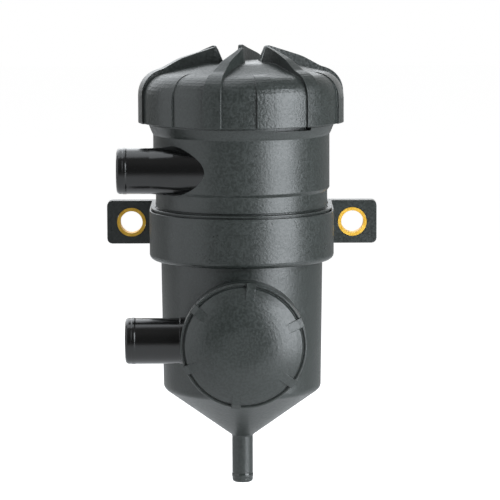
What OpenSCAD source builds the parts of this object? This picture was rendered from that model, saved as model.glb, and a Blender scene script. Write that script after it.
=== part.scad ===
/* [Housing radii] */
// Outer radius of the skirt that goes into the socket; every other radius follows it
skirt_r = 48.8; // [47:0.1:51]
// Gap between the skirt and the socket, all round
skirt_gap = 0.2; // [0.1:0.05:0.4]
// Wall of the socket
socket_wall = 1.4; // [1.2:0.1:2]
// How far the shoulder steps in from the socket to the lower cylinder
shoulder_step = 4.4; // [4:0.1:5]
// How much the lower cylinder tapers in radius
lower_taper = 1; // [0.5:0.1:1.5]
// How far the upper body stands out past the skirt
upper_step = 1.3; // [0.8:0.1:2]
// How far the collar stands out past the upper body
collar_out = 2.6; // [1.5:0.1:3]
// Wall of the lower housing and of the valve chamber
housing_wall = 2.5; // [2:0.1:3]
// Wall of the skirt
skirt_wall = 4.4; // [4:0.1:5]
// Width of the ledge that carries the filter element
ledge_w = 4.4; // [4:0.1:5]
// Wall of the neck
neck_wall = 3.2; // [2.8:0.1:3.6]

/* [Housing heights] */
// Length of the drain spigot below the cone
drain_h = 27.4; // [22:0.2:36]
// Height of the cone that gathers the oil
cone_h = 28.2; // [24:0.2:32]
// Height of the lower cylinder between the cone and the shoulder
lower_cylinder_h = 76.8; // [66:0.2:86]
// Height of the socket from its shoulder to its rim
socket_h = 26.9; // [25:0.1:30]
// Height of the bead round the socket's rim
rim_bead_h = 0.9; // [0.7:0.1:1.2]
// Height of the plain band above the socket rim
band_h = 9.7; // [6:0.1:12]
// Height from the socket rim to the foot of the collar
upper_body_h = 42.9; // [40:0.1:50]
// Height of the collar, its sloping underside included
collar_h = 7; // [6:0.1:9]
// Height of the neck above the collar
neck_h = 19.6; // [18:0.1:23]
// Where the notch in the collar starts and ends, from the front, to the right
notch_angles = [21, 48];
// Depth of the notch in the top of the collar
notch_depth = 3.2; // [2:0.1:4]

/* [Spigots] */
// Outer radius of both hose spigots
spigot_r = 12.8; // [11.5:0.1:13.2]
// Wall of both hose spigots
spigot_wall = 3; // [2.4:0.1:3.2]
// Outer radius of the drain spigot
drain_r = 6; // [5.5:0.1:7]
// Bore radius of the drain spigot
drain_bore_r = 4.2; // [3.8:0.1:4.4]
// Height of the bead that keeps a hose on
bead_h = 0.2; // [0.1:0.05:0.2]
// How far the inlet spigot stands out past the upper body
inlet_out = 19.5; // [15:0.1:30]
// How far the inlet spigot's axis is behind the front of the upper body
inlet_inset = 18.4; // [17.5:0.1:20]
// Height of the inlet spigot's axis above the socket rim
inlet_rise = 23.5; // [22.5:0.1:25]
// How far the outlet spigot stands out past the valve cover
outlet_out = 30.8; // [24:0.1:40]

/* [Pressure control valve] */
// Outer radius of the valve cover and of the chamber's flange
cover_r = 34.9; // [34:0.1:37]
// Height of the cover above the chamber's front face
cover_h = 14.4; // [13.5:0.1:16]
// Wall of the cover
cover_wall = 2.6; // [2:0.1:3]
// Radius of the arc of the cover's dome
cover_arc_r = 40; // [38:1:50]
// Number of clip lugs round the cover
lug_count = 6; // [4:1:8]
// Width of a clip lug
lug_w = 5; // [3:0.1:7]
// How far the cover's edge is below the bracket's ring
cover_drop = 5.2; // [3:0.1:8]
// How far the valve's axis is to the right of the housing's axis
valve_right = 1; // [0:0.1:2]
// Gap between the filter element and the outlet tube
outlet_gap = 1.1; // [0.8:0.1:3]
// How far the chamber's front face is in front of the outlet tube
seat_rise = 3.2; // [3:0.1:5]
// How far the valve plate travels to its seat
valve_travel = 3.4; // [2.5:0.1:3.6]
// Thickness of the diaphragm
diaphragm_t = 1.2; // [0.8:0.1:1.4]

/* [Service cap] */
// Room for the screw thread between the neck and the cap
thread_room = 4.5; // [4:0.1:5]
// Wall of the cap
cap_wall = 3.1; // [2.6:0.1:3.2]
// How far the grip ribs stand out
rib_out = 1.2; // [0.6:0.1:2]
// How far the cap's bottom edge laps over the collar
cap_lap = 1.2; // [0.8:0.1:2]
// Height of the cap's shoulder above the neck
shoulder_rise = 4.9; // [4.5:0.1:8]
// Radius of the rounding of the cap's shoulder
cap_round = 13; // [10:0.5:15]
// Height of the dome above the shoulder
dome_rise = 8.4; // [7:0.1:10]
// Height of the grip blades above the dome
blade_rise = 8.9; // [7:0.1:12]
// Radius of the open hub between the blades
hub_r = 16.6; // [10:0.1:20]
// Number of grip blades
blade_count = 6; // [4:1:8]
// Angle by which a blade leans round on its way in
blade_swirl = 25; // [10:1:35]
// Angle that a rib takes on the skirt
rib_angle = 10.4; // [7:0.1:12]
// Thickness of a blade at its inner end
blade_t = 1.6; // [1.2:0.1:4]

/* [Mounting bracket] */
// Gap between the ring and the socket, all round
ring_gap = 0.8; // [0.3:0.1:1]
// Wall of the bracket's ring
ring_wall = 1.3; // [1.2:0.1:3]
// Thickness of the lip under the shoulder
lip_h = 2.4; // [2:0.1:4]
// How far the ring's top is below the socket rim
ring_drop = 1.8; // [1.4:0.1:4]
// How far the bolt holes are outside the ring
bolt_out = 12.25; // [11.5:0.25:20]
// How far the ears go on past the bolt holes
ear_edge = 14.25; // [12:0.25:20]
// Height of the ears
ear_h = 25.2; // [24:0.1:26]
// Thickness of the bracket's rear plate and ears
plate_t = 8; // [6:0.1:10]
// How far the back face is behind the back of the ring
back_gap = 3.5; // [3:0.1:8]
// Number of pockets in the rear plate
pocket_count = 4; // [2:1:6]
// Rib between two pockets
pocket_rib = 2.5; // [2:0.1:5]
// Radius of the bolt hole in a bush
bolt_hole_r = 6.5; // [5:0.1:6.8]
// Wall of a bush
bush_wall = 1.9; // [1.5:0.1:2.2]

/* [Filter element] */
// Gap between the element's end plates and the ledge
element_gap = 2.8; // [2:0.1:4]
// How far an end plate's rim stands out past the cage
end_rim = 1.6; // [1.2:0.1:2]
// Height of the element's bottom above the top of the cone
element_clear = 7.1; // [6:0.1:14]
// Radius of the core that the raw gas enters
core_r = 14.5; // [14:0.1:16]
// Wall of the perforated core
core_t = 1.5; // [1.2:0.1:2]
// Rows of holes in the core
core_rows = 8; // [4:1:9]
// Radius of the holes in the core
core_hole_r = 2.2; // [1.5:0.1:2.4]
// Wall of the outer cage
cage_t = 0.8; // [0.6:0.1:1.2]
// Rows of windows in the cage
cage_rows = 3; // [2:1:5]
// Radius of the bypass valve's disc
poppet_r = 10.5; // [9.5:0.1:11]
// Opening distance of the bypass valve
bypass_travel = 4; // [2:0.1:5]

/* [Seals and springs] */
// Thickness of the O-ring round the upper housing's skirt
housing_seal_d = 1.9; // [1.7:0.1:1.9]
// Thickness of the cap's O-ring
cap_seal_d = 2.5; // [2.3:0.1:2.5]
// Thickness of the element's O-ring
element_seal_d = 2.1; // [1.9:0.1:2.1]
// Wire thickness of the control spring
control_wire_d = 1.2; // [0.8:0.1:1.4]
// Wire thickness of the bypass spring
bypass_wire_d = 0.9; // [0.6:0.1:1]
// Turns of the bypass spring
bypass_turns = 5; // [4:1:6]

/* [Hidden] */
$fn = 96;
// Sides of the large turned shapes
round_fn = 128;

// Seam between solids that are one moulding
seam = 0.05;
// Small gap between faces that sit on each other
seat_gap = 0.3;
// Small running gap of guides
guide_gap = 0.2;
// How far a cut runs past a face
past = 1;
// Small slack on each side of an O-ring, and above and below it
seal_slack = 0.05;
seal_room = 0.3;

// Heights on the housing's axis, from the drain's tip
cone_z = drain_h;
cylinder_z = cone_z + cone_h;
shoulder_z = cylinder_z + lower_cylinder_h;
rim_z = shoulder_z + socket_h;
socket_floor_t = 4.2;
socket_floor_z = shoulder_z + socket_floor_t;
rim_bead_z = rim_z - rim_bead_h;
step_z = rim_z + band_h;
collar_z = rim_z + upper_body_h;
collar_top_z = collar_z + collar_h;
neck_top_z = collar_top_z + neck_h;
inlet_z = rim_z + inlet_rise;

// Radii on the housing's axis
socket_r = skirt_r + skirt_gap;
socket_outer_r = socket_r + socket_wall;
rim_bead_r = socket_outer_r + 1.1;
lower_top_r = socket_outer_r - shoulder_step;
lower_bottom_r = lower_top_r - lower_taper;
upper_r = skirt_r + upper_step;
collar_r = upper_r + collar_out;
neck_r = upper_r;
neck_bore_r = neck_r - neck_wall;
seal_bore_r = skirt_r - skirt_wall;
ledge_r = seal_bore_r - ledge_w;
ledge_z = rim_z + 0.2;
bore_cone_z = rim_z + 7.2;

// Seal round the upper housing's skirt
housing_seal_z = socket_floor_z + 5.5;
housing_groove_d = housing_seal_d + 2 * seal_slack - skirt_gap;

// Mounting bracket
lip_top_z = shoulder_z - seat_gap;
bracket_bottom_z = lip_top_z - lip_h;
ring_top_z = rim_z - ring_drop;
bolt_z = ring_top_z - ear_h / 2;
ring_r = socket_outer_r + ring_gap;
ring_outer_r = ring_r + ring_wall;
bracket_back = ring_outer_r + back_gap;
bolt_x = ring_outer_r + bolt_out;
ears_w = 2 * (bolt_x + ear_edge);
ear_round = 3;
web_t = 2.4;
pocket_span = 2 * ring_outer_r - 15;
pocket_edge = 2.5;
bush_r = bolt_hole_r + bush_wall;
bush_stand = 0.3;

// Filter element
element_r = ledge_r - element_gap - end_rim;
end_rim_r = element_r + end_rim;
element_z = cylinder_z + element_clear;
end_plate_h = 4;
flange_z = ledge_z + seat_gap;
flange_h = 6;
flange_disc_t = 3;
flange_r = seal_bore_r - seat_gap;
core_outer_r = core_r + core_t;
core_seat = 1;
media_z = element_z + end_plate_h + 0.1;
media_h = flange_z - 0.2 - media_z;
core_z = media_z - core_seat;
core_h = media_h + 2 * core_seat;
media_gap = 0.2;
cage_edge = 6;
element_seal_z = flange_z + flange_h / 2;
element_seal_mid_r = seal_bore_r - seal_slack - element_seal_d / 2;
handle_r = element_r - 5.6;
handle_w = 8;
handle_t = 4;

// Bypass valve under the element
bypass_hole_r = poppet_r - 2.5;
poppet_h = 2.2;
poppet_z = element_z - guide_gap - poppet_h;
stem_r = 2;
bypass_spring_r = bypass_hole_r - 2;
retainer_r = poppet_r + 4.3;
retainer_wall = 2.2;
retainer_floor_t = 2;
retainer_room = bypass_turns * bypass_wire_d + bypass_travel + 1.1;
retainer_z = poppet_z - retainer_room - retainer_floor_t;

// Valve chamber, measured forward from the housing's axis
spigot_bore_r = spigot_r - spigot_wall;
tube_r = spigot_r + 0.3;
outlet_offset = element_r + outlet_gap + spigot_r;
face_reach = outlet_offset + spigot_r + seat_rise;
valve_z = bracket_bottom_z - cover_drop - cover_r;
chamber_r = cover_r - 1.4;
chamber_bore_r = chamber_r - housing_wall;
chamber_back = 20;
chamber_flange_t = 4.5;
window_r = chamber_bore_r - 2.1;
diaphragm_r = cover_r - 1.3;
diaphragm_z = face_reach - diaphragm_t;
seat_z = diaphragm_z - guide_gap;
seat_bore_r = spigot_bore_r - 0.3;
seat_outer_r = spigot_r - 1;
tube_end = valve_right + seat_outer_r + 2;
tube_bore_end = valve_right + seat_bore_r;
spring_pad_z = outlet_offset - spigot_bore_r + 4.3;
control_spring_r = seat_bore_r - 2.1;

// Valve cover and plate
cover_z = face_reach + guide_gap;
cover_top_z = face_reach + cover_h;
cover_rim_z = cover_z + 4.4;
cover_rim_t = 1.4;
cover_groove_w = 0.6;
cover_groove_d = 0.5;
cover_dome_r = cover_r - cover_rim_t - cover_groove_w - 0.6;
cover_flat_r = 8;
cover_inner_r = cover_r - 5;
lug_first = 7.5;
plate_r = diaphragm_r / 2;
plate_z = face_reach + valve_travel + 0.1;
valve_disc_t = 2;
guide_r = 3.4;
guide_z = cover_z + valve_travel + 3.2;

// Spigots, measured from the housing's axis to their ends
inlet_offset = upper_r - inlet_inset;
inlet_reach = upper_r + inlet_out;
inlet_foot_r = spigot_r + 1.3;
inlet_foot_end = 38;
inlet_cone_end = 51;
outlet_reach = cover_r - valve_right + outlet_out;

// Service cap
cap_inner_r = neck_r + thread_room;
cap_r = cap_inner_r + cap_wall;
cap_z = collar_top_z - cap_lap;
cap_corner_z = neck_top_z + shoulder_rise;
dome_z = cap_corner_z + dome_rise;
cap_top_z = dome_z + blade_rise;
dome_flat_r = cap_r - 33.7;
dome_round = 30;
rib_rise = 1.2;
rib_end_r = cap_r - 15.7;
rib_end_rise = 3.6;
blade_knee_r = cap_r - 11.7;
blade_knee_rise = 5.2;
blade_bend_r = cap_r - 21.7;
blade_bend_rise = 10.8;
first_blade = 44;
blade_end_r = hub_r - 5;
cap_seal_z = neck_top_z - 5.5;
cap_seal_mid_r = neck_bore_r - seal_slack - cap_seal_d / 2;
plug_r = neck_bore_r - 0.4;
plug_z = cap_seal_z - 5;
plug_wall = 4.3;
handle_top_z = dome_z - cap_wall - 4;

// Points of an outline [[x, y, corner radius]] with its corners rounded
function corner(a, b, c, n) =
  b[2] <= 0 ? [[b[0], b[1]]] :
  let (
    p = [b[0], b[1]],
    u = ([a[0], a[1]] - p) / norm([a[0], a[1]] - p),
    v = ([c[0], c[1]] - p) / norm([c[0], c[1]] - p),
    half = acos(max(-1, min(1, u * v))) / 2,
    centre = p + (u + v) / norm(u + v) * b[2] / sin(half),
    start = p + u * b[2] / tan(half) - centre,
    end = p + v * b[2] / tan(half) - centre,
    from = atan2(start[1], start[0]),
    turn = atan2(start[0] * end[1] - start[1] * end[0], start * end)
  ) [for (i = [0:n]) centre + b[2] * [cos(from + turn * i / n), sin(from + turn * i / n)]];

function rounded(points, n = 4) =
  [for (i = [0:len(points) - 1])
    each corner(points[(i + len(points) - 1) % len(points)], points[i],
      points[(i + 1) % len(points)], n)];

// Place in plan at an angle from the front, turning to the right
function plan(r, az) = [r * sin(az), -r * cos(az)];

// Solid swept through a list of rings of points, closed at both ends
module sweep(rings) {
  m = len(rings[0]);
  last = len(rings) - 1;
  polyhedron(
    points = [for (ring = rings) each ring],
    faces = [
      [for (j = [0:m - 1]) j],
      [for (j = [m - 1:-1:0]) last * m + j],
      for (i = [0:last - 1]) for (j = [0:m - 1])
        let (k = (j + 1) % m) each [
          [i * m + j, (i + 1) * m + j, (i + 1) * m + k],
          [i * m + j, (i + 1) * m + k, i * m + k]
        ]
    ],
    convexity = 6
  );
}

// Coil spring from z = 0 to height, with a closed turn at each end
module coil(mean_r, wire_r, height, turns, steps = 14, sides = 8) {
  closed = wire_r * 2.1;
  open = (height - 2 * wire_r - 2 * closed) / (turns - 2);
  function rise(u) = wire_r + (u < 1 ? u * closed :
    u > turns - 1 ? height - 2 * wire_r - (turns - u) * closed : closed + (u - 1) * open);
  sweep([for (i = [0:turns * steps]) let (u = i / steps, a = 360 * u)
    [for (j = [0:sides - 1]) let (b = -360 * j / sides, r = mean_r + wire_r * cos(b))
      [r * cos(a), r * sin(a), rise(u) + wire_r * sin(b)]]]);
}

// Hose spigot standing up from z = 0 to its rounded end, with a bead
module spigot(r, length, end_round, bead_back = 4.5, bead_w = 2.4) {
  rotate_extrude()
    polygon(rounded([
      [0, 0, 0], [r, 0, 0],
      [r, length - bead_back - bead_w / 2, 0], [r + bead_h, length - bead_back - bead_w / 4, 0],
      [r + bead_h, length - bead_back + bead_w / 4, 0], [r, length - bead_back + bead_w / 2, 0],
      [r, length, end_round], [0, length, 0]
    ]));
}

// O-ring lying at height z
module o_ring(mid_r, thickness, z) {
  translate([0, 0, z])
    rotate_extrude()
      translate([mid_r, 0])
        circle(d = thickness, $fn = 32);
}

// Groove for an O-ring, open outwards
module seal_groove(inner_r, thickness, depth, z) {
  translate([0, 0, z])
    rotate_extrude($fn = round_fn)
      translate([inner_r, -thickness / 2 - seal_room])
        square([depth, thickness + 2 * seal_room]);
}

// From the housing's axis to the part's own origin between the bolts
module on_axis() {
  translate([0, -bracket_back, -bolt_z])
    children();
}

// Valve axis: z runs forward from the housing's axis, y is up
module at_valve() {
  translate([valve_right, 0, valve_z])
    rotate([90, 0, 0])
      children();
}

// Inlet spigot's axis: z runs out to the left from the housing's middle
module at_inlet() {
  translate([0, -inlet_offset, inlet_z])
    rotate([0, -90, 0])
      children();
}

module at_outlet() {
  translate([0, -outlet_offset, valve_z])
    rotate([0, -90, 0])
      children();
}

// Lower housing
cone_slope = cone_h / (lower_bottom_r - drain_r);
cone_lift = housing_wall * sqrt(1 + cone_slope * cone_slope);

function inner_cone_z(r) = cone_z + cone_lift + (r - drain_r) * cone_slope;

// Outside of the lower housing, grown by a seam for what stands on it
module lower_outer(grow = 0) {
  rotate_extrude($fn = round_fn)
    polygon(rounded([
      [0, drain_h / 2, 0], [drain_r + grow, drain_h / 2, 0], [drain_r + grow, cone_z, 1.5],
      [lower_bottom_r + grow, cylinder_z, 4], [lower_top_r + grow, shoulder_z, 0],
      [socket_outer_r, shoulder_z, 0.8], [socket_outer_r, rim_bead_z, 0],
      [rim_bead_r, rim_bead_z, 0], [rim_bead_r, rim_z, 0.3], [0, rim_z, 0]
    ]));
}

module lower_cavity() {
  bottom_r = lower_bottom_r - housing_wall;
  top_r = lower_top_r - housing_wall;
  rotate_extrude($fn = round_fn)
    polygon([
      [0, -past], [drain_bore_r, -past], [drain_bore_r, inner_cone_z(drain_bore_r)],
      [bottom_r, inner_cone_z(bottom_r)], [top_r, socket_floor_z],
      [socket_r, socket_floor_z], [socket_r, rim_z + past], [0, rim_z + past]
    ]);
}

module lower_housing() {
  color("#3b3e40")
    difference() {
      union() {
        lower_outer();
        translate([0, 0, drain_h])
          rotate([180, 0, 0])
            spigot(drain_r, drain_h, 1.6, 4);
      }
      lower_cavity();
      at_valve()
        translate([0, 0, chamber_back])
          cylinder(r = window_r, h = lower_top_r);
    }
}

// Chamber of the pressure control valve, on the front of the lower housing
module valve_chamber() {
  color("#3b3e40")
    difference() {
      at_valve() {
        translate([0, 0, chamber_back])
          cylinder(r = chamber_r, h = face_reach - chamber_flange_t / 2 - chamber_back);
        translate([0, 0, face_reach - chamber_flange_t])
          cylinder(r = cover_r, h = chamber_flange_t);
      }
      at_valve() {
        translate([0, 0, chamber_back - past])
          cylinder(r = chamber_bore_r, h = face_reach);
        translate([0, 0, diaphragm_z])
          cylinder(r = diaphragm_r + guide_gap, h = diaphragm_t + past);
      }
      lower_outer(seam);
      at_outlet()
        translate([0, 0, -tube_end])
          cylinder(r = tube_r + seam, h = tube_end + outlet_reach);
    }
}

// Outlet spigot, its tube through the chamber and the valve's seat
module outlet_spigot() {
  step = cover_r - valve_right + 0.5;
  pad_back = outlet_offset - spigot_r + 0.8;
  color("#3b3e40") {
    difference() {
      union() {
        at_outlet() {
          spigot(spigot_r, outlet_reach, 1.9);
          translate([0, 0, -tube_end])
            cylinder(r = tube_r, h = tube_end + step);
        }
        at_valve()
          translate([0, 0, outlet_offset])
            cylinder(r = seat_outer_r, h = seat_z - outlet_offset);
      }
      at_outlet()
        translate([0, 0, -tube_bore_end])
          cylinder(r = spigot_bore_r, h = outlet_reach + tube_bore_end + past);
      at_valve()
        translate([0, 0, outlet_offset])
          cylinder(r = seat_bore_r, h = face_reach - outlet_offset + past);
    }
    at_valve()
      translate([0, 0, pad_back])
        cylinder(r = control_spring_r + 1.2, h = spring_pad_z - pad_back);
  }
}

// Upper housing
module upper_outer() {
  bottom_z = socket_floor_z + 0.5;
  line_d = 0.9;
  line_z = rim_z + 0.8;
  rotate_extrude($fn = round_fn)
    polygon(rounded([
      [0, bottom_z, 0], [skirt_r, bottom_z, 0.8],
      [skirt_r, rim_z - 0.4, 0], [skirt_r - line_d, rim_z, 0], [skirt_r - line_d, line_z, 0],
      [skirt_r, line_z, 0.2], [skirt_r, step_z, 0.4], [upper_r, step_z + 1.8, 0.6],
      [upper_r, collar_z - 1.2, 1.2], [upper_r + 0.7, collar_z, 0.4],
      [collar_r, collar_top_z - 2.4, 0.8], [collar_r, collar_top_z, 0.6],
      [neck_r, collar_top_z, 0], [neck_r, neck_top_z, 0.8], [0, neck_top_z, 0]
    ]));
}

module upper_bore() {
  rotate_extrude($fn = round_fn)
    polygon([
      [0, socket_floor_z - past], [seal_bore_r, socket_floor_z - past],
      [seal_bore_r, ledge_z - 4.5], [ledge_r, ledge_z - 2.5], [ledge_r, ledge_z],
      [seal_bore_r, ledge_z], [seal_bore_r, bore_cone_z],
      [neck_bore_r, bore_cone_z + 5], [neck_bore_r, neck_top_z + past], [0, neck_top_z + past]
    ]);
}

// Notch in the collar whose floor slopes down inwards
module collar_notch() {
  root_r = neck_r - neck_wall / 2;
  translate([0, 0, collar_top_z - notch_depth])
    rotate([0, 0, notch_angles[0] - 90])
      rotate_extrude(angle = notch_angles[1] - notch_angles[0])
        polygon([
          [root_r, -1.2], [collar_r + past, 0],
          [collar_r + past, notch_depth + 0.5], [root_r, notch_depth + 0.5]
        ]);
}

module upper_housing() {
  color("#3d4042")
    difference() {
      union() {
        upper_outer();
        at_inlet() {
          spigot(spigot_r, inlet_reach, 1.9);
          cylinder(r = inlet_foot_r, h = inlet_foot_end);
          translate([0, 0, inlet_foot_end])
            cylinder(r1 = inlet_foot_r, r2 = spigot_r, h = inlet_cone_end - inlet_foot_end);
        }
      }
      upper_bore();
      seal_groove(skirt_r - housing_groove_d, housing_seal_d, housing_groove_d + past, housing_seal_z);
      collar_notch();
      at_inlet()
        cylinder(r = spigot_bore_r, h = inlet_reach + past);
    }
}

module housing_seal() {
  color("#202020")
    o_ring(socket_r - seal_slack - housing_seal_d / 2, housing_seal_d, housing_seal_z);
}

// Service cap
module cap_outer() {
  rotate_extrude($fn = round_fn)
    polygon(rounded([
      [0, cap_z, 0], [cap_r, cap_z, 0.5], [cap_r, cap_corner_z, cap_round],
      [dome_flat_r, dome_z - 0.5, dome_round], [0, dome_z, 0]
    ], 8));
}

module cap_hollow() {
  top = dome_z - cap_wall;
  rotate_extrude($fn = round_fn)
    polygon(rounded([
      [0, cap_z - past, 0], [cap_inner_r, cap_z - past, 0],
      [cap_inner_r, cap_corner_z - cap_wall + 0.6, cap_round - cap_wall],
      [dome_flat_r, top - 0.5, 0], [0, top, 0]
    ]));
}

// Space that the blades and ribs may fill, turned from its inner end outwards
module grip_envelope(inner) {
  outer = cap_r + rib_out;
  rotate_extrude($fn = round_fn)
    polygon(rounded(concat([
      [inner[len(inner) - 1][0], cap_z, 0], [outer, cap_z, 0.5],
      [outer, cap_corner_z + rib_rise, cap_round + 1.5]], inner), 8));
}

module rib_plan(az) {
  polygon([
    plan(rib_end_r - 2, az - rib_angle / 2), plan(cap_r + 4, az - rib_angle / 2),
    plan(cap_r + 4, az + rib_angle / 2), plan(rib_end_r - 2, az + rib_angle / 2)
  ]);
}

// Blade that thins and curves round on its way in
module blade_plan(az) {
  outer = cap_r + 4;
  foot = 2 * outer * tan(rib_angle / 2);
  steps = 8;
  function edge(t, side) = let (turned = az + blade_swirl * pow(t, 3))
    plan(outer - t * (outer - blade_end_r), turned) +
    side / 2 * (blade_t + (foot - blade_t) * pow(1 - t, 1.5)) * [cos(turned), sin(turned)];
  polygon(concat(
    [for (i = [0:steps]) edge(i / steps, -1)],
    [for (i = [steps:-1:0]) edge(i / steps, 1)]
  ));
}

module cap_grip() {
  pitch = 360 / blade_count;
  intersection() {
    grip_envelope([
      [blade_knee_r, cap_corner_z + blade_knee_rise, 10],
      [blade_bend_r, cap_corner_z + blade_bend_rise, dome_round],
      [hub_r, cap_top_z, 2], [blade_end_r + 0.5, dome_z - 2, 0]
    ]);
    translate([0, 0, cap_z])
      linear_extrude(cap_top_z - cap_z + past)
        for (k = [0:blade_count - 1])
          blade_plan(first_blade + k * pitch);
  }
  intersection() {
    grip_envelope([[rib_end_r, cap_corner_z + rib_end_rise, 0]]);
    translate([0, 0, cap_z])
      linear_extrude(cap_top_z - cap_z)
        for (k = [0:blade_count - 1])
          rib_plan(first_blade + (k + 0.5) * pitch);
  }
}

module cap_plug() {
  top = cap_corner_z + 0.7 - plug_z;
  translate([0, 0, plug_z])
    rotate_extrude($fn = round_fn)
      polygon(rounded([
        [plug_r - plug_wall, 0, 0], [plug_r, 0, 0.8], [plug_r, top, 0],
        [plug_r - plug_wall, top + 1, 0]
      ]));
}

module service_cap() {
  color("#3a3d40")
    difference() {
      union() {
        difference() {
          union() {
            cap_outer();
            cap_grip();
          }
          cap_hollow();
        }
        cap_plug();
      }
      seal_groove(cap_seal_mid_r - cap_seal_d / 2 - seal_slack, cap_seal_d, cap_seal_d + 3, cap_seal_z);
    }
}

module cap_seal() {
  color("#202020")
    o_ring(cap_seal_mid_r, cap_seal_d, cap_seal_z);
}

// Mounting bracket
module ear_plate() {
  translate([0, bracket_back, bolt_z])
    rotate([90, 0, 0])
      linear_extrude(plate_t)
        polygon(rounded([
          [-ears_w / 2, -ear_h / 2, ear_round], [ears_w / 2, -ear_h / 2, ear_round],
          [ears_w / 2, ear_h / 2, ear_round], [-ears_w / 2, ear_h / 2, ear_round]
        ]));
}

module mounting_bracket() {
  web_z = bolt_z - ear_h / 2;
  lip_r = lower_top_r + 0.4;
  lead = 0.5;
  pitch = pocket_span / pocket_count;
  color("#3c3f42")
    difference() {
      union() {
        rotate_extrude($fn = round_fn)
          polygon(rounded([
            [lip_r, bracket_bottom_z, 0], [ring_outer_r, bracket_bottom_z, 3],
            [ring_outer_r, ring_top_z, 0.4], [ring_r + lead, ring_top_z, 0],
            [ring_r, ring_top_z - lead, 0], [ring_r, lip_top_z, 0], [lip_r, lip_top_z, 0]
          ]));
        difference() {
          union() {
            for (side = [-1, 1])
              translate([side * (ring_outer_r - web_t / 2) - web_t / 2, 0, web_z])
                cube([web_t, bracket_back - plate_t + past, ring_top_z - web_z]);
            ear_plate();
          }
          cylinder(r = ring_r + ring_wall / 2, h = ring_top_z + past, $fn = round_fn);
        }
      }
      for (side = [-1, 1])
        translate([side * bolt_x, bracket_back + past, bolt_z])
          rotate([90, 0, 0])
            cylinder(r = bush_r + 0.1, h = plate_t + 2 * past);
      for (k = [0:pocket_count - 1])
        translate([k * pitch - (pocket_span - pocket_rib) / 2, ring_outer_r + 1, web_z + pocket_edge])
          cube([pitch - pocket_rib, back_gap, ear_h - 2 * pocket_edge]);
    }
}

module bush(side) {
  color("#d2a030")
    translate([side * bolt_x, bracket_back, bolt_z])
      rotate([90, 0, 0])
        difference() {
          cylinder(r = bush_r, h = plate_t + bush_stand);
          translate([0, 0, -past])
            cylinder(r = bolt_hole_r, h = plate_t + 2 * past + bush_stand);
        }
}

module left_bush() {
  bush(-1);
}

module right_bush() {
  bush(1);
}

// Valve cover: height of its dome at a radius
function dome_drop(r) =
  cover_arc_r - sqrt(cover_arc_r * cover_arc_r - (r - cover_flat_r) * (r - cover_flat_r));

module cover_outer() {
  rim_in_r = cover_r - cover_rim_t;
  groove_z = cover_rim_z - cover_groove_d;
  steps = 9;
  rotate_extrude($fn = round_fn)
    polygon(rounded(concat([
      [0, cover_z, 0], [cover_r, cover_z, 0], [cover_r, cover_rim_z, 0.7],
      [rim_in_r, cover_rim_z, 0.3], [rim_in_r, groove_z, 0], [rim_in_r - cover_groove_w, groove_z, 0]],
      [for (i = [0:steps]) let (r = cover_dome_r + (cover_flat_r - cover_dome_r) * i / steps)
        [r, cover_top_z - dome_drop(r), 0]],
      [[0, cover_top_z, 0]])));
}

module valve_cover() {
  roof_z = cover_top_z - cover_wall;
  color("#3c4043")
    at_valve()
      difference() {
        union() {
          difference() {
            union() {
              cover_outer();
              for (k = [0:lug_count - 1])
                rotate([0, 0, -lug_first - k * 360 / lug_count])
                  clip_lug();
            }
            rotate_extrude($fn = round_fn)
              polygon(rounded([
                [0, cover_z - past, 0], [cover_inner_r, cover_z - past, 0],
                [cover_inner_r, cover_z + 5.6, 3], [2 * cover_flat_r, roof_z - 0.5, 0],
                [0, roof_z, 0]
              ]));
          }
          translate([0, 0, guide_z])
            cylinder(r = guide_r + 2, h = roof_z - guide_z + 0.5);
        }
        translate([0, 0, guide_z - past])
          cylinder(r = guide_r, h = roof_z - guide_z + past);
        translate([0, -cover_inner_r + 3, cover_z + 1.6])
          rotate([90, 0, 0])
            cylinder(r = 0.8, h = 12, $fn = 32);
      }
}

// Lug that ramps from the dome down over the rim, pointing up
module clip_lug() {
  low_z = cover_z + 0.6;
  in_r = 0.68 * cover_r;
  translate([-lug_w / 2, 0, 0])
    rotate([90, 0, 90])
      linear_extrude(lug_w)
        polygon([
          [in_r, cover_rim_z], [in_r, cover_top_z - dome_drop(in_r) - 0.2],
          [cover_r - 2.4, cover_rim_z + 2.8], [cover_r + 0.3, cover_rim_z + 0.6],
          [cover_r + 0.3, low_z], [cover_inner_r + 1, low_z], [cover_inner_r + 1, cover_rim_z]
        ]);
}

// Rolling diaphragm, shown with the valve open
module diaphragm() {
  front = face_reach;
  centre = face_reach + valve_travel;
  roll = centre + 1;
  roll_in_r = plate_r + 3;
  roll_out_r = diaphragm_r - 6.3;
  color("#1c1c1c")
    at_valve()
      rotate_extrude()
        polygon(rounded([
          [0, centre - diaphragm_t, 0], [roll_in_r + 0.3, centre - diaphragm_t, 0],
          [roll_in_r + 2.1, roll - diaphragm_t, 0.8], [roll_out_r - 1.1, roll - diaphragm_t, 0.8],
          [roll_out_r + 0.5, front - diaphragm_t, 0], [diaphragm_r, front - diaphragm_t, 0],
          [diaphragm_r, front, 0], [roll_out_r + 1.5, front, 0], [roll_out_r, roll, 1.6],
          [roll_in_r + 1, roll, 1.6], [roll_in_r - 0.6, centre, 0], [0, centre, 0]
        ]));
}

module diaphragm_plate() {
  color("#d8d4c8")
    at_valve()
      translate([0, 0, plate_z]) {
        cylinder(r = plate_r, h = valve_disc_t);
        cylinder(r = guide_r + 1.8, h = guide_z - plate_z - seat_gap);
        cylinder(r = guide_r - guide_gap, h = cover_top_z - cover_wall - plate_z - seat_gap - 0.4);
      }
}

module control_spring() {
  color("#b8bcc0")
    at_valve()
      translate([0, 0, spring_pad_z + 0.1])
        coil(control_spring_r, control_wire_d / 2,
          diaphragm_z + valve_travel - spring_pad_z - 0.2, 6);
}

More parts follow.
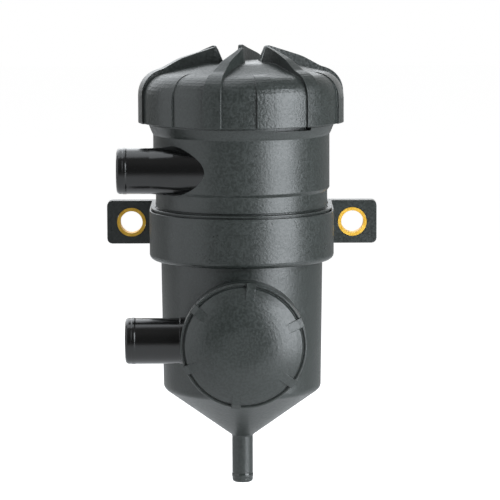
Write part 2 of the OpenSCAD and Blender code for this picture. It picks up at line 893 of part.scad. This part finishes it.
// Filter element
module element_top_plate() {
  color("#c9c4b4")
    difference() {
      rotate_extrude()
        polygon([
          [core_r, flange_z - 0.1 + core_seat], [core_outer_r + guide_gap, flange_z - 0.1 + core_seat],
          [core_outer_r + guide_gap, flange_z - 0.1], [element_r + seat_gap, flange_z - 0.1],
          [element_r + seat_gap, flange_z - end_plate_h], [end_rim_r, flange_z - end_plate_h],
          [end_rim_r, flange_z], [flange_r, flange_z], [flange_r, flange_z + flange_h],
          [flange_r - 5, flange_z + flange_h], [flange_r - 5, flange_z + flange_disc_t],
          [core_r, flange_z + flange_disc_t]
        ]);
      seal_groove(element_seal_mid_r - element_seal_d / 2 - seal_slack, element_seal_d,
        element_seal_d + 3, element_seal_z);
    }
}

// Handle that pulls the element out
module element_handle() {
  foot_z = flange_z + flange_disc_t + seam;
  color("#c9c4b4") {
    for (side = [-1, 1])
      translate([side * handle_r - handle_t / 2, -handle_w / 2, foot_z])
        cube([handle_t, handle_w, handle_top_z - foot_z]);
    translate([-handle_r, -handle_w / 2, handle_top_z - handle_t])
      cube([2 * handle_r, handle_w, handle_t]);
  }
}

module element_seal() {
  color("#202020")
    o_ring(element_seal_mid_r, element_seal_d, element_seal_z);
}

module core_tube() {
  row_h = core_h / core_rows;
  color("#8f9398")
    difference() {
      translate([0, 0, core_z])
        cylinder(r = core_outer_r, h = core_h);
      translate([0, 0, core_z - past])
        cylinder(r = core_r, h = core_h + 2 * past);
      for (row = [0:core_rows - 1], k = [0:7])
        translate([0, 0, core_z + (row + 0.5) * row_h])
          rotate([0, 90, 45 * k + (row % 2) * 22.5])
            translate([0, 0, core_r - past])
              cylinder(r = core_hole_r, h = core_t + 2 * past, $fn = 24);
    }
}

module filter_media() {
  color("#e4e0d0")
    translate([0, 0, media_z + media_gap])
      difference() {
        cylinder(r = element_r - cage_t - media_gap, h = media_h - 2 * media_gap);
        translate([0, 0, -past])
          cylinder(r = core_outer_r + media_gap, h = media_h + 2 * past);
      }
}

module outer_cage() {
  row_h = (media_h - 2 * cage_edge) / cage_rows;
  bar = 4;
  window_w = 0.48 * element_r;
  color("#d5d2c6")
    difference() {
      translate([0, 0, media_z])
        cylinder(r = element_r, h = media_h);
      translate([0, 0, media_z - past])
        cylinder(r = element_r - cage_t, h = media_h + 2 * past);
      for (row = [0:cage_rows - 1], k = [0:4])
        translate([0, 0, media_z + cage_edge + (row + 0.5) * row_h])
          rotate([0, 0, 36 * k])
            cube([2 * element_r + 2, window_w, row_h - bar], center = true);
    }
}

module element_bottom_plate() {
  top = element_z + end_plate_h;
  color("#c9c4b4")
    rotate_extrude()
      polygon([
        [bypass_hole_r, element_z], [end_rim_r, element_z], [end_rim_r, top + end_plate_h],
        [element_r + seat_gap, top + end_plate_h], [element_r + seat_gap, top],
        [core_outer_r + guide_gap, top], [core_outer_r + guide_gap, top - core_seat],
        [core_r - guide_gap, top - core_seat], [core_r - guide_gap, top], [bypass_hole_r, top]
      ]);
}

module bypass_valve() {
  color("#3a6fb0") {
    translate([0, 0, poppet_z])
      rotate_extrude()
        polygon([
          [0, 0], [2 * stem_r, 0], [poppet_r, poppet_h - 1.2], [poppet_r, poppet_h], [0, poppet_h]
        ]);
    translate([0, 0, retainer_z - 3])
      cylinder(r = stem_r, h = poppet_z - retainer_z + 4);
  }
}

module bypass_spring() {
  floor_z = retainer_z + retainer_floor_t;
  color("#b8bcc0")
    translate([0, 0, floor_z + 0.1])
      coil(bypass_spring_r, bypass_wire_d / 2, poppet_z - floor_z - 0.2, bypass_turns);
}

// Cage that holds the bypass spring
module bypass_retainer() {
  height = element_z - 0.1 - retainer_z;
  window_w = 0.8 * retainer_r;
  color("#c9c4b4")
    translate([0, 0, retainer_z])
      difference() {
        cylinder(r = retainer_r, h = height);
        translate([0, 0, retainer_floor_t])
          cylinder(r = retainer_r - retainer_wall, h = height);
        translate([0, 0, -past])
          cylinder(r = stem_r + guide_gap, h = height);
        for (k = [0:1])
          rotate([0, 0, 90 * k])
            translate([-retainer_r - past, -window_w / 2, retainer_floor_t])
              cube([2 * (retainer_r + past), window_w, height - retainer_floor_t - 2]);
        for (k = [0:3])
          rotate([0, 0, 90 * k + 45])
            translate([0.6 * retainer_r, 0, -past])
              cylinder(r = stem_r, h = height, $fn = 24);
      }
}

on_axis() lower_housing();
on_axis() valve_chamber();
on_axis() outlet_spigot();
on_axis() upper_housing();
on_axis() housing_seal();
on_axis() service_cap();
on_axis() cap_seal();
on_axis() mounting_bracket();
on_axis() left_bush();
on_axis() right_bush();
on_axis() valve_cover();
on_axis() diaphragm();
on_axis() diaphragm_plate();
on_axis() control_spring();
on_axis() element_top_plate();
on_axis() element_handle();
on_axis() element_seal();
on_axis() core_tube();
on_axis() filter_media();
on_axis() outer_cage();
on_axis() element_bottom_plate();
on_axis() bypass_valve();
on_axis() bypass_spring();
on_axis() bypass_retainer();
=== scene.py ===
import math

import bpy
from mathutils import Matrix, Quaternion, Vector


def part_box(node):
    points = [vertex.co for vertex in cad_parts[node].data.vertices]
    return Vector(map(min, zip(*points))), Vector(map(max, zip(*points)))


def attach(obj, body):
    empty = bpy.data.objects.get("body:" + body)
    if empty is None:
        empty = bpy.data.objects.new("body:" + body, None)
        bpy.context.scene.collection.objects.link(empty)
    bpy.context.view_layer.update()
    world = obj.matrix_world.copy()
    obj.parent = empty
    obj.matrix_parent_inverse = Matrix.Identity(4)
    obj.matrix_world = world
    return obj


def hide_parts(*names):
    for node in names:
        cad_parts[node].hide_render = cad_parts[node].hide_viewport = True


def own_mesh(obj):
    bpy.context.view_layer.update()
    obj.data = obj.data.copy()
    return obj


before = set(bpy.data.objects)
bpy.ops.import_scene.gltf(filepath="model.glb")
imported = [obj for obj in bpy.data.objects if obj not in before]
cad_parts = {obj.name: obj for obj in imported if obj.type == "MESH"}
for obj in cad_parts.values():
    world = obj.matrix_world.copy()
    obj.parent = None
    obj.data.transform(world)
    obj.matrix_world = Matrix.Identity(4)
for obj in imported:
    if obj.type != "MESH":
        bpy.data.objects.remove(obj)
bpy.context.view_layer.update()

MM = 0.001

# Places on the housing, in the row frame, in metres. The origin is between the two bolt holes.
cap_low, cap_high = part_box("service_cap")
cover_low, cover_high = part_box("valve_cover")
AXIS_X = (cap_low.x + cap_high.x) / 2
AXIS_Y = (cap_low.y + cap_high.y) / 2
VALVE_X = (cover_low.x + cover_high.x) / 2
VALVE_Z = (cover_low.z + cover_high.z) / 2
DRAIN_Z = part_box("lower_housing")[0].z
BODY_R = 50.1 * MM

# Hose spigots: their axes run along X, here as y and z, and they end at the left.
# CHAMBER_X is where the outlet spigot leaves the valve chamber.
SPIGOT_R = 12.8 * MM
INLET_AXIS = (AXIS_Y - 31.7 * MM, DRAIN_Z + 182.8 * MM)
OUTLET_AXIS = (AXIS_Y - 49.5 * MM, VALVE_Z)
CHAMBER_X = cover_low.x + 2.6 * MM

# Travel of the control valve, as the joints have it
CONTROL_TRAVEL = 3.4 * MM


# Small helpers for node trees


class Tree:
    """A node tree with short calls for what the materials below repeat."""

    def __init__(self, tree):
        self.tree = tree
        self.tree.nodes.clear()

    def add(self, kind, inputs=None, **settings):
        node = self.tree.nodes.new(kind)
        for key, value in settings.items():
            setattr(node, key, value)
        for key, value in (inputs or {}).items():
            self.feed(node.inputs[key], value)
        return node

    def feed(self, socket, value):
        if isinstance(value, bpy.types.NodeSocket):
            self.tree.links.new(value, socket)
        else:
            socket.default_value = value

    def math(self, operation, a, b=0.0):
        return self.add("ShaderNodeMath", {0: a, 1: b}, operation=operation).outputs[0]

    def ramp(self, value, low, high, out_low=0.0, out_high=1.0):
        """Smooth step from out_low to out_high while value goes from low to high."""
        node = self.add(
            "ShaderNodeMapRange",
            {"Value": value, "From Min": low, "From Max": high, "To Min": out_low, "To Max": out_high},
            interpolation_type="SMOOTHSTEP",
        )
        return node.outputs[0]

    def mix_color(self, factor, a, b):
        return self.add("ShaderNodeMix", {0: factor, 6: a, 7: b}, data_type="RGBA").outputs[2]

    def mix_vector(self, factor, a, b):
        return self.add("ShaderNodeMix", {0: factor, 4: a, 5: b}, data_type="VECTOR").outputs[1]

    def noise(self, place, scale, detail=3.0, roughness=0.5):
        """Cloudy noise. The scale is in features a metre."""
        inputs = {"Vector": place, "Scale": scale, "Detail": detail, "Roughness": roughness}
        return self.add("ShaderNodeTexNoise", inputs).outputs["Fac"]

    def bump(self, height, strength, distance, normal=None):
        inputs = {"Height": height, "Strength": strength, "Distance": distance}
        if normal is not None:
            inputs["Normal"] = normal
        return self.add("ShaderNodeBump", inputs).outputs[0]


def new_material(name):
    material = bpy.data.materials.new(name)
    material.use_nodes = True
    return material, Tree(material.node_tree)


def object_place(tree):
    """Place on the object, in metres."""
    return tree.add("ShaderNodeTexCoord").outputs["Object"]


def finish_surface(tree, inputs):
    shader = tree.add("ShaderNodeBsdfPrincipled", inputs)
    tree.add("ShaderNodeOutputMaterial", {0: shader.outputs[0]})


def gray(level):
    return (level, level, level, 1.0)


def distance_2d(tree, a, a0, b, b0):
    da = tree.math("SUBTRACT", a, a0)
    db = tree.math("SUBTRACT", b, b0)
    total = tree.math("ADD", tree.math("MULTIPLY", da, da), tree.math("MULTIPLY", db, db))
    return tree.math("SQRT", total)


# Materials


def spigot_mask(tree, x, y, z):
    """1 on the polished hose spigots, 0 on the grained body."""
    inlet_foot, outlet_margin, off_body = 1.6 * MM, 0.5 * MM, 0.1 * MM
    left_x = AXIS_X - 0.3 * BODY_R
    from_axis = distance_2d(tree, x, AXIS_X, y, AXIS_Y)
    near_inlet = distance_2d(tree, y, INLET_AXIS[0], z, INLET_AXIS[1])
    inlet = tree.math(
        "MULTIPLY",
        tree.math("LESS_THAN", near_inlet, SPIGOT_R + inlet_foot),
        tree.math("GREATER_THAN", from_axis, BODY_R + off_body),
    )
    inlet = tree.math("MULTIPLY", inlet, tree.math("LESS_THAN", x, left_x))
    near_outlet = distance_2d(tree, y, OUTLET_AXIS[0], z, OUTLET_AXIS[1])
    outlet = tree.math(
        "MULTIPLY",
        tree.math("LESS_THAN", near_outlet, SPIGOT_R + outlet_margin),
        tree.math("LESS_THAN", x, CHAMBER_X),
    )
    return tree.math("MAXIMUM", inlet, outlet)


def crown(tree, x, y):
    """Height that makes the cap's top look rounder than it is, in metres."""
    inner_r, outer_r, drop = 8 * MM, 54 * MM, 6 * MM
    return tree.ramp(distance_2d(tree, x, AXIS_X, y, AXIS_Y), inner_r, outer_r, 0.0, -drop)


def polish_spigots(tree, x, y, z, color, roughness, normal, smooth):
    """Black and smooth hose spigots, and a drain end that is half as rough as the body."""
    polished_roughness, drain_end_h = 0.17, 6 * MM
    polished = spigot_mask(tree, x, y, z)
    color = tree.mix_color(polished, color, gray(0.003))
    roughness = tree.math(
        "ADD",
        tree.math("MULTIPLY", roughness, tree.math("SUBTRACT", 1.0, polished)),
        tree.math("MULTIPLY", polished, polished_roughness),
    )
    drain_end = tree.math("LESS_THAN", z, DRAIN_Z + drain_end_h)
    roughness = tree.math("MULTIPLY", roughness, tree.ramp(drain_end, 0.0, 1.0, 1.0, 0.5))
    return color, roughness, tree.mix_vector(polished, normal, smooth)


def grained_plastic(name, rough, grain, with_spigots=False, with_crown=False):
    """Glass-filled moulded plastic: fine speckle, cloudy sheen and rounded-looking edges."""
    dark = (0.0160, 0.0195, 0.0178, 1)
    light = (0.0240, 0.0290, 0.0270, 1)
    edge_r, grain_depth, smooth_depth = 0.5 * MM, 0.35 * MM, 0.2 * MM
    speckle_share, fine_share, smooth_wave = 2.4, 0.3, 0.12
    material, tree = new_material(name)
    place = object_place(tree)
    x, y, z = tree.add("ShaderNodeSeparateXYZ", {0: place}).outputs
    speckle = tree.noise(place, scale=780, detail=1.5)
    cloud = tree.noise(place, scale=70, detail=2)
    fine = tree.noise(place, scale=1900, detail=2, roughness=0.6)
    color = tree.mix_color(tree.ramp(speckle, 0.35, 0.65), dark, light)
    roughness = tree.math("ADD", tree.ramp(speckle, 0.3, 0.7, rough - 0.05, rough + 0.06),
                          tree.ramp(cloud, 0.3, 0.7, -0.02, 0.02))
    height = tree.math("ADD", tree.math("MULTIPLY", speckle, speckle_share),
                       tree.math("MULTIPLY", fine, fine_share))
    edge = tree.add("ShaderNodeBevel", {"Radius": edge_r}, samples=4).outputs[0]
    if with_crown:
        edge = tree.bump(crown(tree, x, y), strength=1.0, distance=1.0, normal=edge)
    normal = tree.bump(height, grain, grain_depth, edge)
    if with_spigots:
        smooth = tree.bump(cloud, smooth_wave, smooth_depth, edge)
        color, roughness, normal = polish_spigots(tree, x, y, z, color, roughness, normal, smooth)
    finish_surface(tree, {
        "Base Color": color, "IOR": 1.55,
        "Roughness": roughness,
        "Normal": normal,
    })
    return material


def yellow_metal():
    deep = (0.72, 0.40, 0.035, 1)
    bright = (0.85, 0.52, 0.070, 1)
    material, tree = new_material("yellow_metal")
    place = object_place(tree)
    stain = tree.noise(place, scale=260, detail=4)
    color = tree.mix_color(tree.ramp(stain, 0.3, 0.7), deep, bright)
    turned = tree.noise(place, scale=2400, detail=2)
    finish_surface(tree, {
        "Base Color": color, "Metallic": 0.35,
        "Roughness": tree.ramp(stain, 0.3, 0.7, 0.40, 0.50),
        "Normal": tree.bump(turned, strength=0.04, distance=0.1 * MM),
    })
    return material


def black_rubber():
    material, tree = new_material("black_rubber")
    place = object_place(tree)
    grain = tree.noise(place, scale=900, detail=3)
    finish_surface(tree, {
        "Base Color": tree.mix_color(grain, gray(0.010), gray(0.022)),
        "Roughness": tree.ramp(grain, 0.3, 0.7, 0.62, 0.78),
        "Normal": tree.bump(grain, strength=0.2, distance=0.1 * MM),
    })
    return material


def natural_plastic(name, dark, light):
    material, tree = new_material(name)
    place = object_place(tree)
    flow = tree.noise(place, scale=120, detail=3)
    finish_surface(tree, {
        "Base Color": tree.mix_color(flow, dark, light),
        "Roughness": tree.ramp(flow, 0.3, 0.7, 0.38, 0.52),
        "Normal": tree.bump(tree.noise(place, scale=800), strength=0.1, distance=0.1 * MM),
    })
    return material


def wound_fleece():
    gap = (0.52, 0.49, 0.40, 1)
    thread = (0.80, 0.78, 0.70, 1)
    material, tree = new_material("wound_fleece")
    place = object_place(tree)
    fibre = tree.noise(place, scale=1500, detail=4, roughness=0.7)
    layers = tree.noise(place, scale=220, detail=2)
    color = tree.mix_color(tree.ramp(fibre, 0.3, 0.7), gap, thread)
    height = tree.math("ADD", fibre, layers)
    finish_surface(tree, {
        "Base Color": color,
        "Roughness": tree.ramp(layers, 0.3, 0.7, 0.85, 0.95),
        "Normal": tree.bump(height, strength=0.6, distance=0.5 * MM),
    })
    return material


def spring_wire():
    material, tree = new_material("spring_wire")
    place = object_place(tree)
    drawn = tree.noise(place, scale=1300, detail=2)
    finish_surface(tree, {
        "Base Color": tree.mix_color(drawn, gray(0.42), gray(0.60)),
        "Metallic": 1.0,
        "Roughness": tree.ramp(drawn, 0.3, 0.7, 0.25, 0.38),
        "Normal": tree.bump(drawn, strength=0.1, distance=0.05 * MM),
    })
    return material


def dress_cad_nodes():
    housing = grained_plastic("housing_plastic", rough=0.36, grain=0.13, with_spigots=True)
    cap = grained_plastic("cap_plastic", rough=0.35, grain=0.23, with_crown=True)
    cover = grained_plastic("cover_plastic", rough=0.36, grain=0.11)
    bracket = grained_plastic("bracket_plastic", rough=0.34, grain=0.14)
    yellow = yellow_metal()
    rubber = black_rubber()
    natural = natural_plastic("natural_plastic", (0.50, 0.46, 0.36, 1), (0.62, 0.58, 0.48, 1))
    blue = natural_plastic("blue_plastic", (0.03, 0.10, 0.30, 1), (0.05, 0.15, 0.38, 1))
    steel = spring_wire()
    fleece = wound_fleece()
    finish = {
        "lower_housing": housing, "valve_chamber": housing, "outlet_spigot": housing,
        "upper_housing": housing, "service_cap": cap,
        "valve_cover": cover, "mounting_bracket": bracket,
        "left_bush": yellow, "right_bush": yellow,
        "housing_seal": rubber, "cap_seal": rubber, "element_seal": rubber, "diaphragm": rubber,
        "diaphragm_plate": natural, "element_top_plate": natural, "element_bottom_plate": natural,
        "element_handle": natural,
        "outer_cage": natural, "core_tube": natural, "bypass_retainer": natural,
        "bypass_valve": blue, "control_spring": steel, "bypass_spring": steel,
        "filter_media": fleece,
    }
    for name, material in finish.items():
        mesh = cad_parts[name].data
        mesh.materials.clear()
        mesh.materials.append(material)


dress_cad_nodes()


# Pieces that the CAD model leaves to this scene


def add_piece(name, points, faces, body, material_of, slot):
    """A mesh that rides on a body and looks like the CAD node material_of."""
    mesh = bpy.data.meshes.new(name)
    mesh.from_pydata(points, [], faces)
    mesh.shade_smooth()
    mesh.materials.append(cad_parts[material_of].data.materials[0])
    piece = bpy.data.objects.new(name, mesh)
    bpy.context.scene.collection.objects.link(piece)
    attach(piece, body)
    return piece


def sweep_faces(first, rings, sides):
    """Faces of a closed bar whose rings of points follow each other from point number first."""
    faces = [
        (first + i * sides + j, first + i * sides + (j + 1) % sides,
         first + (i + 1) * sides + (j + 1) % sides, first + (i + 1) * sides + j)
        for i in range(rings - 1) for j in range(sides)
    ]
    faces.append(tuple(first + j for j in reversed(range(sides))))
    faces.append(tuple(first + (rings - 1) * sides + j for j in range(sides)))
    return faces


THREAD_STARTS = 3
THREAD_LEAD = 18 * MM
CAP_INNER_R = BODY_R + 4.5 * MM
COLLAR_TOP = cap_low.z + 1.2 * MM


def ridge_profile(full):
    """Section of a thread ridge, as places out from its root and up. It is whole where full is 1."""
    height, base, crest, sunk = 3.4 * MM, 3.0 * MM, 1.4 * MM, 0.6 * MM
    thinnest = 0.4
    half_base = base / 2 * (thinnest + (1 - thinnest) * full)
    half_crest = crest / 2 * (thinnest + (1 - thinnest) * full)
    return [(-sunk, -half_base), (0, -half_base), (height * full, -half_crest),
            (height * full, half_crest), (0, half_base), (-sunk, half_base)]


def thread_ridges(root_r, outward, low_z, first_angle, span):
    """Ridges of a right-hand thread: one ridge a start, which fades in and out at its ends."""
    fade, lowest, degrees_a_step = 9.0, 0.04, 2.5
    steps = int(span / degrees_a_step)
    points, faces = [], []
    for start in range(THREAD_STARTS):
        first = len(points)
        for i in range(steps + 1):
            turned = span * i / steps
            full = min(1.0, turned / fade, (span - turned) / fade)
            full = lowest + (1 - lowest) * full * full * (3 - 2 * full)
            angle = math.radians(first_angle + turned + start * 360 / THREAD_STARTS)
            z = low_z + THREAD_LEAD * turned / 360
            profile = ridge_profile(full)
            for out, up in profile:
                r = root_r + out * outward
                points.append((AXIS_X + r * math.cos(angle), AXIS_Y + r * math.sin(angle), z + up))
        faces += sweep_faces(first, steps + 1, len(profile))
    return points, faces


def add_threads():
    """The three-start thread on the neck and, just under its ridges, the one in the cap."""
    cap_ridge_z = COLLAR_TOP + 2.1 * MM
    neck_ridge_z = cap_ridge_z + 2.25 * MM
    lead_in, neck_span, cap_span = 20, 100, 60
    neck_start_z = neck_ridge_z - THREAD_LEAD * lead_in / 360
    add_piece("neck_thread", *thread_ridges(BODY_R, 1, neck_start_z, -lead_in, neck_span),
              "housing", "upper_housing", "housing_plastic")
    add_piece("cap_thread", *thread_ridges(CAP_INNER_R, -1, cap_ridge_z, 0, cap_span),
              "cap", "service_cap", "cap_plastic")


def coil_rings(mean_r, wire_r, height, turns):
    """Rings of a coil spring that stands up from 0, with a closed turn at each end."""
    steps_a_turn, sides = 32, 12
    closed = 2.1 * wire_r
    free = (height - 2 * wire_r - 2 * closed) / (turns - 2)
    rings = []
    for i in range(turns * steps_a_turn + 1):
        u = i / steps_a_turn
        if u < 1:
            rise = u * closed
        elif u > turns - 1:
            rise = height - 2 * wire_r - (turns - u) * closed
        else:
            rise = closed + (u - 1) * free
        a = math.tau * u
        ring = []
        for j in range(sides):
            b = math.tau * j / sides
            r = mean_r + wire_r * math.cos(b)
            ring.append((r * math.cos(a), r * math.sin(a), wire_r + rise + wire_r * math.sin(b)))
        rings.append(ring)
    return rings


def add_spring(name, node, place, mean_r, wire_r, height, turns):
    """A spring of round wire; place turns the spring's own x, y and z into a place in the frame."""
    rings = coil_rings(mean_r, wire_r, height, turns)
    points = [place(x, y, z) for ring in rings for x, y, z in ring]
    piece = add_piece(name, points, sweep_faces(0, len(rings), len(rings[0])),
                      "housing", node, "spring_steel")
    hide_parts(node)
    return piece


def add_control_spring():
    """Spring behind the control valve's plate. It stands on the chamber's back and points forwards."""
    low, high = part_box("control_spring")
    length = high.y - low.y

    def place(x, y, z):
        return VALVE_X + x, high.y - z, VALVE_Z + y

    spring = add_spring("control_spring_wire", "control_spring", place,
                        mean_r=7.4 * MM, wire_r=0.6 * MM, height=length, turns=6)
    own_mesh(spring)


def add_bypass_spring():
    """Spring under the bypass valve. It stands upright in its retainer."""
    low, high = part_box("bypass_spring")
    length = high.z - low.z

    def place(x, y, z):
        return AXIS_X + x, AXIS_Y + y, low.z + z

    spring = add_spring("bypass_spring_wire", "bypass_spring", place,
                        mean_r=6 * MM, wire_r=0.45 * MM, height=length, turns=5)
    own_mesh(spring)


def half_wave(share):
    """Smooth rise from 0 to 1 while share goes from 0 to 1."""
    return 0.5 * (1 - math.cos(math.pi * share))


def add_diaphragm():
    """Rolling diaphragm: a clamped edge, a soft roll and a flat middle."""
    low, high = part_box("diaphragm")
    thick = 1.2 * MM
    edge_r = (high.x - low.x) / 2
    middle_x = (low.x + high.x) / 2
    middle_z = (low.z + high.z) / 2
    plate_r = edge_r / 2
    roll_in, roll_out = plate_r + 2.4 * MM, edge_r - 5.2 * MM
    roll_rise = 0.8 * MM
    stations, around = 60, 96

    def rise(r):
        """How far the sheet stands in front of its clamped edge."""
        if r < plate_r:
            return CONTROL_TRAVEL
        if r < roll_in:
            return CONTROL_TRAVEL + roll_rise * half_wave((r - plate_r) / (roll_in - plate_r))
        if r < roll_out:
            fall = (r - roll_in) / (roll_out - roll_in)
            return (CONTROL_TRAVEL + roll_rise) * (1 - half_wave(fall ** 3))
        return 0.0

    radii = [edge_r * i / stations for i in range(1, stations + 1)]
    profile = [(r, rise(r)) for r in radii] + [(r, rise(r) - thick) for r in reversed(radii)]
    sides = len(profile)
    points = [
        (middle_x + r * math.cos(math.tau * k / around), high.y - thick - out,
         middle_z + r * math.sin(math.tau * k / around))
        for k in range(around) for r, out in profile
    ]
    faces = [
        (k * sides + j, (k + 1) % around * sides + j,
         (k + 1) % around * sides + (j + 1) % sides, k * sides + (j + 1) % sides)
        for k in range(around) for j in range(sides)
    ]
    sheet = add_piece("diaphragm_sheet", points, faces, "housing", "diaphragm", "seal_rubber")
    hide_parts("diaphragm")
    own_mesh(sheet)


add_threads()
add_control_spring()
add_bypass_spring()
add_diaphragm()


# Camera: 1.7 m in front, a little above, as the photo's ellipses say


def add_camera():
    data = bpy.data.cameras.new("camera")
    data.sensor_width = 36.0
    data.lens = 216.0
    camera = bpy.data.objects.new("camera", data)
    bpy.context.scene.collection.objects.link(camera)
    away, eye_height, target_height = 1.7, 346 * MM, 134.2 * MM
    roll_degrees = -0.21
    middle_x = AXIS_X + 4.7 * MM
    eye = Vector((middle_x, AXIS_Y - away, DRAIN_Z + eye_height))
    target = Vector((middle_x, AXIS_Y, DRAIN_Z + target_height))
    roll = Quaternion((0, 0, 1), math.radians(roll_degrees))
    camera.location = eye
    camera.rotation_euler = ((target - eye).to_track_quat("-Z", "Y") @ roll).to_euler()
    bpy.context.scene.camera = camera


add_camera()


# Light


def soft_box(name, azimuth, elevation, distance, width, height, radiance):
    """A light that faces the object. Azimuth 0 is in front, 90 to the right. Elevation 90 is above."""
    aim_height = 130 * MM
    slightly_cool = (0.95, 1.0, 1.045)
    aim = Vector((AXIS_X, AXIS_Y, DRAIN_Z + aim_height))
    data = bpy.data.lights.new(name, "AREA")
    data.color = slightly_cool
    data.shape = "RECTANGLE"
    data.size = width
    data.size_y = height
    data.energy = radiance * math.pi * width * height
    light = bpy.data.objects.new(name, data)
    bpy.context.scene.collection.objects.link(light)
    az = math.radians(azimuth)
    el = math.radians(elevation)
    direction = Vector((math.sin(az) * math.cos(el), -math.cos(az) * math.cos(el), math.sin(el)))
    light.location = aim + direction * distance
    light.rotation_euler = (-direction).to_track_quat("-Z", "Y").to_euler()


soft_box("key_box", azimuth=52, elevation=11, distance=1.1, width=0.82, height=1.3, radiance=7.2)
soft_box("left_fill", azimuth=-72, elevation=16, distance=1.2, width=1.4, height=1.4, radiance=1.0)
soft_box("top_box", azimuth=65, elevation=108, distance=1.1, width=0.9, height=0.75, radiance=1.8)
soft_box("back_box", azimuth=22, elevation=142, distance=1.2, width=1.5, height=1.0, radiance=1.9)


def seen_rays(tree, rays):
    """1 for rays that come straight from the camera or through something clear."""
    return tree.math("MAXIMUM", rays["Is Camera Ray"], rays["Is Transmission Ray"])


def add_world():
    """White where the camera sees it. In reflections it is bright behind the object and dim in front."""
    world = bpy.data.worlds.new("studio")
    bpy.context.scene.world = world
    world.use_nodes = True
    tree = Tree(world.node_tree)
    rays = tree.add("ShaderNodeLightPath").outputs
    direction = tree.add("ShaderNodeTexCoord").outputs["Generated"]
    y = tree.add("ShaderNodeSeparateXYZ", {0: direction}).outputs[1]
    fill, dark_front = 0.24, 0.45
    behind = tree.ramp(y, 0.50, 0.92, fill, 1.0)
    mirrored = tree.math("MULTIPLY", behind, tree.ramp(y, -1.0, -0.6, dark_front, 1.0))
    lift = tree.math("MULTIPLY", rays["Is Glossy Ray"], tree.math("SUBTRACT", mirrored, fill))
    strength = tree.math("MAXIMUM", seen_rays(tree, rays), tree.math("ADD", lift, fill))
    background = tree.add("ShaderNodeBackground", {"Color": gray(1.0), "Strength": strength})
    tree.add("ShaderNodeOutputWorld", {0: background.outputs[0]})


add_world()


def add_floor():
    """A pale floor below the hanging object, white where it is seen, which keeps the shadow."""
    size, drop, pale, mirrored = 6.0, 140 * MM, 0.8, 0.05
    mesh = bpy.data.meshes.new("floor")
    z = DRAIN_Z - drop
    corners = [(-size, -size, z), (size, -size, z), (size, size, z), (-size, size, z)]
    mesh.from_pydata(corners, [], [(0, 1, 2, 3)])
    floor = bpy.data.objects.new("floor", mesh)
    bpy.context.scene.collection.objects.link(floor)
    material, tree = new_material("floor_white")
    rays = tree.add("ShaderNodeLightPath").outputs
    glossy = tree.math("MULTIPLY", rays["Is Glossy Ray"], mirrored)
    seen = tree.math("MAXIMUM", seen_rays(tree, rays), glossy)
    strength = tree.math("MULTIPLY", seen, pale)
    diffuse = tree.add("ShaderNodeBsdfDiffuse", {"Color": gray(pale)})
    glow = tree.add("ShaderNodeEmission", {"Color": gray(1.0), "Strength": strength})
    both = tree.add("ShaderNodeAddShader", {0: diffuse.outputs[0], 1: glow.outputs[0]})
    tree.add("ShaderNodeOutputMaterial", {0: both.outputs[0]})
    mesh.materials.append(material)


add_floor()

bpy.context.scene.view_settings.view_transform = "Standard"
